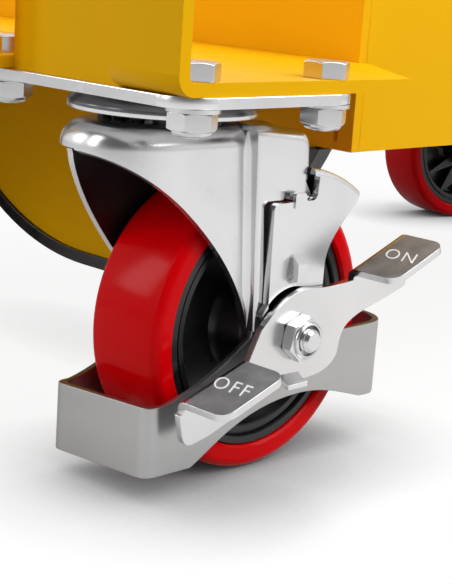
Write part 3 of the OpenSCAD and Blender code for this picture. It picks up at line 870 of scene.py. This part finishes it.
# %% The lever's measures
LEVER = (CARRIER[1] + 0.5, CARRIER[1] + 3.0)
LEVER_MID = -(LEVER[0] + LEVER[1]) / 2
BEND = 3.0
PEDAL_OUT = LEVER[1] + 18.9
ON_ARM = ((25.7, 20.1), (51.8, 30.0))
OFF_ARM = ((-25.0, -4.0), (-51.6, -13.2))


def arm_line(arm, drop):
    """An arm's top edge, lowered square to itself, from its inner to its outer end."""
    a, b = Vector(arm[0]), Vector(arm[1])
    along = (b - a).normalized()
    square = Vector((-along.y, along.x)) * (1 if along.x > 0 else -1)
    return a - square * drop, b - square * drop


def bend_out(bm, edge, up):
    """Bends the sheet outwards along an edge, then pulls it out to the pedal's width."""
    a, b = (v.co.copy() for v in edge.verts)
    axis = (b - a).normalized()
    centre = a + Vector((0, -BEND, 0))
    turned = Matrix.Rotation(math.radians(5), 3, axis) @ Vector((0, BEND, 0))
    sign = 1 if turned.dot(up) > 0 else -1
    made = bmesh.ops.spin(bm, geom=[edge, *edge.verts], cent=centre, axis=axis, dvec=(0, 0, 0),
                          angle=sign * math.pi / 2, steps=6)["geom_last"]
    last = [g for g in made if isinstance(g, bmesh.types.BMEdge)][0]
    pulled = bmesh.ops.extrude_edge_only(bm, edges=[last])["geom"]
    verts = [g for g in pulled if isinstance(g, bmesh.types.BMVert)]
    reach = PEDAL_OUT + LEVER_MID - BEND
    bmesh.ops.translate(bm, verts=verts, vec=(0, -reach, 0))
    return verts


print("lever from", round(LEVER[0], 1), "mm out of the middle, pedals out to", round(PEDAL_OUT, 1), "mm")


# %% The lever's plate and pedals
def lever_outline(on_in, on_out, off_in, off_out):
    """The plate seen from the side, about the axle: over the hub, the ON arm, below it, the OFF arm."""
    outline = curve((-17.2, 4.6), (-11, 10), (-6, 15.6), (3.5, 15.9), 12)
    outline += curve((6, 15.8), (12, 15), (17, 15.2), tuple(on_in), 8) + [tuple(on_out)]
    outline += rounded([(on_out.x + 1.6, on_out.y - 4, 0), (on_out.x + 3.6, on_out.y - 15.0, 2.5),
                        (on_out.x - 8, on_out.y - 18.4, 0)], 4)
    outline += curve((34.8, 5), (24, 1.8), (22.8, -1), (22, -6), 8)
    outline += curve((21.4, -9), (18, -14.8), (10, -15.2), (0, -15.2), 10)
    outline += [(-8, -15.6), (-14.7, -18.5), (-33.4, -25.1)]
    outline += rounded([(-38, -26.7, 0), (-49, -29.2, 4.5), (-51.5, -18, 0)], 5)
    return outline + [tuple(off_out), tuple(off_in)]


def lever_sheet(bm):
    """The lever without thickness: its plate, with both pedals bent out and their corners rounded."""
    drop = BEND + (LEVER[1] - LEVER[0]) / 2
    tops = [arm_line(ON_ARM, drop), arm_line(OFF_ARM, drop)]
    face = face_from(bm, lever_outline(*tops[0], *tops[1]), lambda x, z: (TRAIL + x, LEVER_MID, WHEEL_R + z))
    pedals = []
    for top in tops:
        ends = [Vector((TRAIL + p.x, LEVER_MID, WHEEL_R + p.y)) for p in top]
        edge = next(e for e in face.edges
                    if all(min((v.co - end).length for end in ends) < 1e-3 for v in e.verts))
        along = (ends[1] - ends[0]).normalized()
        up = Vector((-along.z, 0, along.x)) * (1 if along.x > 0 else -1)
        pedals.append(bend_out(bm, edge, up))
    for verts in pedals:
        roll(bm, verts, 5, 6, affect="VERTICES", clamp=True)


# %% Make the levers
def axle_bore(bm):
    rod(bm, 5.1, 30, 40)
    along_y(bm, (TRAIL, LEVER_MID, WHEEL_R))


def lever_foot(bm):
    """A small tab, bent out of the plate below the hub."""
    near, far = -LEVER[0] - 0.4, -LEVER[1]
    section = [(near, -11.8), (far - 0.2, -12.0), (far - 2.4, -13.6), (far - 4.6, -14.4), (far - 4.8, -16.0),
               (far - 2.4, -15.4), (near, -13.6)]
    prism(bm, section, lambda y, z: (TRAIL - 7.5, y, WHEEL_R + z), (9.5, 0, 0))


def on_pedal(at, normal):
    """Whether a face is the upper side of a pedal, where shoes scuff it."""
    return at.y < -LEVER[1] - 4 and normal.z > 0.8 and abs(at.x - TRAIL) > 20


def make_lever(corner):
    obj = shaped("lever_" + corner, lever_sheet)
    thick = obj.modifiers.new("thickness", "SOLIDIFY")
    thick.thickness = LEVER[1] - LEVER[0]
    thick.offset = 0
    thick.use_even_offset = True
    apply_modifiers(obj)
    combine(obj, shaped("bore", axle_bore), "DIFFERENCE")
    combine(obj, shaped("foot", lever_foot), "UNION")
    soften(obj, 0.5, 45, 3)
    finish_piece(obj, corner, "brake_lever", "brake_lever", bright, 40)
    second_finish(obj, corner, scuffed, on_pedal)
    return obj


for c in BRAKED:
    piece = make_lever(c)
    print("lever", c, len(piece.data.polygons), "faces")

# %% [markdown]
# ## ON and OFF
#
# The pedals are marked so that a foot finds the right one. The letters are plain text, made into a thin mesh
# and laid on each pedal, turned a little towards whoever stands at the dolly's corner.

# %% The letters' mesh
LETTER_H, LETTER_UP, LETTER_TURN, LETTER_LEAN, LETTER_W = 8.8, 0.10, 1, -0.35, 0.88
letter_white = shader("letter_white", (0.86, 0.87, 0.88), 0.45)
tint(letter_white, 300, (0.80, 0.81, 0.82), (0.92, 0.92, 0.92))


def letter_mesh(word):
    """A word as a mesh that lies flat with its middle at the origin."""
    data = bpy.data.curves.new("letters", "FONT")
    data.body = word
    data.align_x, data.align_y = "CENTER", "CENTER"
    data.size = LETTER_H
    data.extrude = LETTER_UP
    data.offset = -0.05
    data.shear = LETTER_LEAN
    data.space_character = 1.2
    text = to_scene("letters", data)
    mesh = bpy.data.meshes.new_from_object(text.evaluated_get(bpy.context.evaluated_depsgraph_get()))
    bpy.data.objects.remove(text)
    return mesh


# %% Letters on the pedals
def make_letters(corner, word, arm, out):
    """Lays a word on the pedal of an arm, a little further out than the pedal's middle."""
    obj = to_scene("letters_" + word.lower() + "_" + corner, letter_mesh(word))
    a, b = (Vector((TRAIL + x, 0, WHEEL_R + z)) for x, z in sorted(arm))
    along = (b - a).normalized()
    outward = Vector((0, -1, 0))
    up = outward.cross(along)
    basis = Matrix((outward, along, up)).transposed().to_4x4()
    basis = basis @ Matrix.Rotation(math.radians(LETTER_TURN), 4, "Z") @ Matrix.Diagonal((LETTER_W, 1, 1, 1))
    middle = (a + b) / 2 + Vector((0, -(LEVER[0] + PEDAL_OUT) / 2 - out, 0)) + up * 0.05
    obj.data.transform(Matrix.Translation(middle) @ basis)
    obj.data.transform(PLACE[corner])
    tidy_piece(obj, "brake_lever_" + corner, letter_white, 30)


for c in BRAKED:
    make_letters(c, "ON", ON_ARM, 2.6)
    make_letters(c, "OFF", OFF_ARM, 1.0)
print("letters", LETTER_H, "mm high")

# %% [markdown]
# ## Bolts and nuts
#
# Hexagon heads and nuts are six-sided prisms whose corners are turned off by a cone. A lathe makes that cone
# shape, and the intersection of both is the fastener. Lock nuts carry a round collar with a nylon ring. Each
# kind is made once and copied to its places.

# %% Hexagons and threads
def hexagon(name, across_flats, height, chamfer_both=False, turn=0.0):
    """A hexagonal block on Z = 0 with its top corners, or both, turned off."""
    r, flat_r = across_flats / math.sqrt(3), across_flats / 2 * 0.97
    outline = [(r * math.cos(turn + k * math.pi / 3), r * math.sin(turn + k * math.pi / 3)) for k in range(6)]
    body = shaped(name, flat, outline, 0, height)
    wide, rise = r + 0.2, (r - across_flats / 2) * 0.62
    low = [(flat_r, 0), (wide, rise)] if chamfer_both else [(wide, 0), (wide, 0.01)]
    cone = [(0, 0), *low, (wide, height - rise), (flat_r, height), (0, height)]
    combine(body, shaped("cone", lathe, cone, 48), "INTERSECT")
    soften(body, 0.18, 30, 1)
    return body


def thread(bm, r, low, high, pitch=1.25):
    """A shank with shallow rings in place of a thread, and a chamfered tip at the low end."""
    profile = [(0, low), (r - 1.0, low), (r - 0.2, low + 0.9)]
    z = low + 0.9
    while z + pitch < high:
        profile += [(r, z + 0.3 * pitch), (r, z + 0.5 * pitch), (r - 0.45, z + 0.95 * pitch)]
        z += pitch
    profile += [(r, high), (0, high)]
    lathe(bm, profile, 32)


# %% The measures of the top plates' fasteners
bolt_lo, bolt_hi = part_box("mounting_bolts")
nut_lo, nut_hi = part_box("mounting_nuts")
HEAD_H, AF, COLLAR_H = 5.3, 13.0, 1.4
HEAD_Z = bolt_hi[2] / MM - HEAD_H
TIP_Z = bolt_lo[2] / MM
NUT_TOP, NUT_LOW = nut_hi[2] / MM, nut_lo[2] / MM


def bolt_places():
    """The sixteen bolts: four about each swivel axis, mirrored from corner to corner."""
    half_x = (bolt_hi[0] / MM - AF / 2) - abs(joints["swivel_front_left"]["pos_m"][0]) / MM
    half_y = (bolt_hi[1] / MM - AF / math.sqrt(3)) - abs(joints["swivel_front_left"]["pos_m"][1]) / MM
    for c in CORNERS:
        x, y, _ = (v / MM for v in joints["swivel_" + c]["pos_m"])
        for sx in (-1, 1):
            for sy in (-1, 1):
                yield Vector((x + sx * half_x, y + sy * half_y, 0))


def repeat_at(name, source, places, node):
    """One piece on the frame, with a copy of the source mesh at every place."""
    bm = bmesh.new()
    for at in places:
        copy = source.data.copy()
        copy.transform(Matrix.Scale(MM, 4) @ Matrix.Translation(at))
        bm.from_mesh(copy)
        bpy.data.meshes.remove(copy)
    bpy.data.objects.remove(source)
    obj = to_object(name, bm, outward=False)
    tidy_piece(obj, "frame", bright, 35)
    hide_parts(node)


# %% Bolts and nuts of the top plates
def plate_bolt():
    head = hexagon("head", AF, HEAD_H, turn=math.pi / 6)
    head.data.transform(Matrix.Translation((0, 0, HEAD_Z)))
    return join_parts("bolt", [head, shaped("shank", thread, 3.98, TIP_Z, HEAD_Z + 0.5)])


def plate_nut():
    """The nut, hung upside down so that its collar points to the floor."""
    body = hexagon("nut", AF, NUT_TOP - NUT_LOW - COLLAR_H, True, math.pi / 6)
    collar = [(4.1, 0.5), (5.9, 0.5), (5.9, -0.6), (5.5, -COLLAR_H + 0.3), (5.1, -COLLAR_H),
              (4.6, -COLLAR_H), (4.1, -COLLAR_H + 0.5)]
    nut = join_parts("nut", [body, shaped("collar", lathe, collar, 40)])
    nut.data.transform(Matrix.Translation((0, 0, NUT_LOW + COLLAR_H)))
    return nut


places = list(bolt_places())
repeat_at("plate_bolts", plate_bolt(), places, "mounting_bolts")
repeat_at("plate_nuts", plate_nut(), places, "mounting_nuts")
print("fasteners at", len(places), "places")

# %% [markdown]
# ## The axles
#
# Each axle is a bolt through both legs: its hexagon head is on the far side, and a lock nut with a nylon
# collar closes the stack on the near side. On a braked caster a sleeve keeps the lever clear of the guard.

# %% The axle's bolt
AXLE_AF, AXLE_R, TIP_R, AXLE_HEAD, AXLE_NUT = 13.8, 5.0, 4.0, 6.0, 4.6
SLEEVE_R = 9.0


def on_axle(obj):
    """From a piece made along Z to the axle: its top points to the near side."""
    turn = Matrix.Rotation(math.pi / 2, 4, "X")
    obj.data.transform(Matrix.Translation((TRAIL, 0, WHEEL_R)) @ turn)
    return obj


def axle_sleeve(inner, outer):
    """The ring that keeps the lever clear of the guard, with chamfered ends."""
    profile = [(AXLE_R, inner), (SLEEVE_R - 0.4, inner), (SLEEVE_R, inner + 0.4), (SLEEVE_R, outer - 0.4),
               (SLEEVE_R - 0.4, outer), (AXLE_R, outer)]
    return shaped("sleeve", lathe, profile, 48)


def axle_bolt(corner, stack, far):
    head = hexagon("head", AXLE_AF, AXLE_HEAD)
    head.data.transform(Matrix.Rotation(math.pi, 4, "X"))
    head.data.transform(Matrix.Translation((0, 0, -far)))
    end = shaped("end", thread, TIP_R, -(stack + 6.3 + 1.4), 1 - stack)
    plain = [(0, 1 - stack), (AXLE_R - 0.02, 1 - stack), (AXLE_R - 0.02, far), (0, far)]
    shank = join_parts("shank", [end, shaped("plain", lathe, plain, 40)])
    shank.data.transform(Matrix.Rotation(math.pi, 4, "X"))
    parts = [head, shank]
    if corner in BRAKED:
        parts.append(axle_sleeve(GUARD_IN + GUARD_T, LEVER[0]))
    return join_parts("axle_" + corner, parts)


# %% The axle's lock nut
def axle_nut(corner, stack):
    body = hexagon("nut", AXLE_AF, AXLE_NUT, True, math.radians(20))
    mouth = [(0, 1.5), (AXLE_R, 1.5), (AXLE_R, 8), (0, 8)]
    combine(body, shaped("mouth", lathe, mouth, 40), "DIFFERENCE")
    collar = [(AXLE_R, 4.0), (6.3, 4.0), (6.3, 5.2), (6.0, 5.7), (5.6, 5.9), (5.2, 5.8), (AXLE_R, 5.5)]
    nut = join_parts("axle_lock_nut_" + corner, [body, shaped("collar", lathe, collar, 40)])
    nut.data.transform(Matrix.Translation((0, 0, stack)))
    return nut


for c in CORNERS:
    stack, far = (LEVER[1], GUARD_IN + GUARD_T) if c in BRAKED else (LEG_OUT, LEG_OUT)
    finish_piece(on_axle(axle_bolt(c, stack, far)), c, "swivel", "axle_bolt", bright, 35)
    finish_piece(on_axle(axle_nut(c, stack)), c, "swivel", "axle_nut", bright, 35)
print("axles made, hexagon", AXLE_AF, "mm")

# %% [markdown]
# ## Floor, light and camera
#
# A plain pale floor carries the shadow, and soft lamps with a bright world give the metal something to
# reflect. The camera stands low at one corner and looks past a single caster.

# %% The floor's finish
def seen_or_mirrored(tree):
    """One for rays from the camera, from gloss and through glass, none for those that carry light."""
    path = add_node(tree, "LightPath")
    either = calculate(tree, "MAXIMUM", path.outputs["Is Camera Ray"], path.outputs["Is Glossy Ray"])
    return calculate(tree, "MAXIMUM", either, path.outputs["Is Transmission Ray"])


def camera_ray(tree):
    return add_node(tree, "LightPath").outputs["Is Camera Ray"]


FLOOR_GLOW, MIRROR_GLOW, BOUNCE = 0.90, 0.30, 0.34
# Reach in metres and deepening of the contact shadow that is painted into the floor's glow.
PAINTED_SHADOW_REACH, PAINTED_SHADOW_DEPTH = 0.05, 1.3
floor_paint = shader("pale_floor", (0.93, 0.93, 0.93), 0.6)
tint(floor_paint, 3, (0.92, 0.92, 0.92), (0.94, 0.94, 0.94))
gloss(floor_paint, 0.1)
tree = floor_paint.node_tree
# Ambient occlusion dims the floor's glow near the object: a painted contact shadow.
ao_painted_shadow = add_node(tree, "AmbientOcclusion", {"Distance": PAINTED_SHADOW_REACH}).outputs["AO"]
glow = add_node(tree, "Emission", {"Strength": calculate(tree, "POWER", ao_painted_shadow, PAINTED_SHADOW_DEPTH)})
quiet = add_node(tree, "BsdfDiffuse", {"Color": (BOUNCE, BOUNCE, BOUNCE, 1)})
share = calculate(tree, "MULTIPLY_ADD", camera_ray(tree), FLOOR_GLOW - MIRROR_GLOW, MIRROR_GLOW)
seen = blend(tree, share, tree.nodes["Principled BSDF"].outputs[0], glow.outputs[0])
surface = blend(tree, seen_or_mirrored(tree), quiet.outputs[0], seen)
tree.links.new(surface, tree.nodes["Material Output"].inputs["Surface"])
print("floor glow", FLOOR_GLOW, "seen,", MIRROR_GLOW, "mirrored")

# %% The floor
bm = bmesh.new()
bmesh.ops.create_grid(bm, x_segments=1, y_segments=1, size=6)
bmesh.ops.translate(bm, verts=bm.verts, vec=(0, 0, FLOOR))
floor = to_object("floor", bm)
floor.data.materials.append(floor_paint)
print("floor at", round(FLOOR / MM, 1), "mm")

# %% [markdown]
# ## The studio round it
#
# The world gives three things. Rays that carry light find a plain soft grey, so that the lamps shape the
# object. The camera finds white. Polished metal finds the same white near the horizon, and a darker ceiling
# above the near corner, as in a real studio, where the light comes from a few soft boxes.

# %% The studio
WORLD_LIGHT, CEILING = 0.26, 0.14
DARK_SIDE, FADE = Vector((-0.35, -0.35, 0.87)).normalized(), (0.15, 0.65)
world = bpy.data.worlds.new("studio")
bpy.context.scene.world = world
world.use_nodes = True
tree = world.node_tree


def background(strength):
    return add_node(tree, "Background", {"Color": (1, 1, 1, 1), "Strength": strength}).outputs[0]


direction = add_node(tree, "TexCoord").outputs["Generated"]
toward = add_node(tree, "VectorMath", {0: direction, 1: DARK_SIDE})
toward.operation = "DOT_PRODUCT"
fade = add_node(tree, "MapRange", {"Value": toward.outputs["Value"],
                                   "From Min": FADE[0], "From Max": FADE[1]})
room = blend(tree, fade.outputs["Result"], background(1.0), background(CEILING))
lit = blend(tree, seen_or_mirrored(tree), background(WORLD_LIGHT), room)
final = blend(tree, camera_ray(tree), lit, background(1.0))
tree.links.new(final, tree.nodes["World Output"].inputs["Surface"])
print("world light", WORLD_LIGHT, "ceiling", CEILING)


# %% The lamps
def lamp(name, place, target, size, power):
    """A soft rectangular lamp that looks at a point, and that the camera doesn't see."""
    data = bpy.data.lights.new(name, "AREA")
    data.shape = "RECTANGLE"
    data.size, data.size_y = size
    data.energy = power
    obj = to_scene(name, data)
    obj.location = place
    obj.rotation_euler = (Vector(target) - Vector(place)).to_track_quat("-Z", "Y").to_euler()
    obj.visible_camera = False


near = PLACE["front_left"] @ Vector((TRAIL, 0, WHEEL_R))
LAMPS = [
    ("key", (0.55, -0.95, 1.15), (1.4, 1.4), 25),
    ("side", (-1.1, 0.25, 0.62), (0.4, 0.9), 3.1),
    ("glint", (-0.85, 0.83, 0.50), (0.25, 0.5), 2.2),
    ("top", (0.1, 0.0, 1.8), (1.2, 1.2), 10),
]
for name, offset, size, power in LAMPS:
    lamp(name, near + Vector(offset), near, size, power)
print("lamps:", [name for name, *_ in LAMPS])

# %% The camera
IMAGE_H, SENSOR = 584, 36.0
YAW, PITCH, ROLL, FOCAL = 43.75, 13.22, 4.0, 1432.6
DISTANCE = (-0.3459, -0.3286, 0.1205)

camera_data = bpy.data.cameras.new("camera")
camera_data.sensor_fit = "VERTICAL"
camera_data.sensor_height = SENSOR
camera_data.lens = FOCAL / IMAGE_H * SENSOR
camera_data.clip_start = 0.01
camera = to_scene("camera", camera_data)
yaw, pitch = math.radians(YAW), math.radians(PITCH)
look = Vector((math.cos(yaw) * math.cos(pitch), math.sin(yaw) * math.cos(pitch), -math.sin(pitch)))
roll_turn = Matrix.Rotation(math.radians(ROLL), 4, "Z")
camera.matrix_world = (Matrix.Translation(near + Vector(DISTANCE))
                       @ look.to_track_quat("-Z", "Y").to_matrix().to_4x4() @ roll_turn)
bpy.context.scene.camera = camera
bpy.context.scene.view_settings.view_transform = "Standard"
print("camera", round(camera_data.lens, 1), "mm")
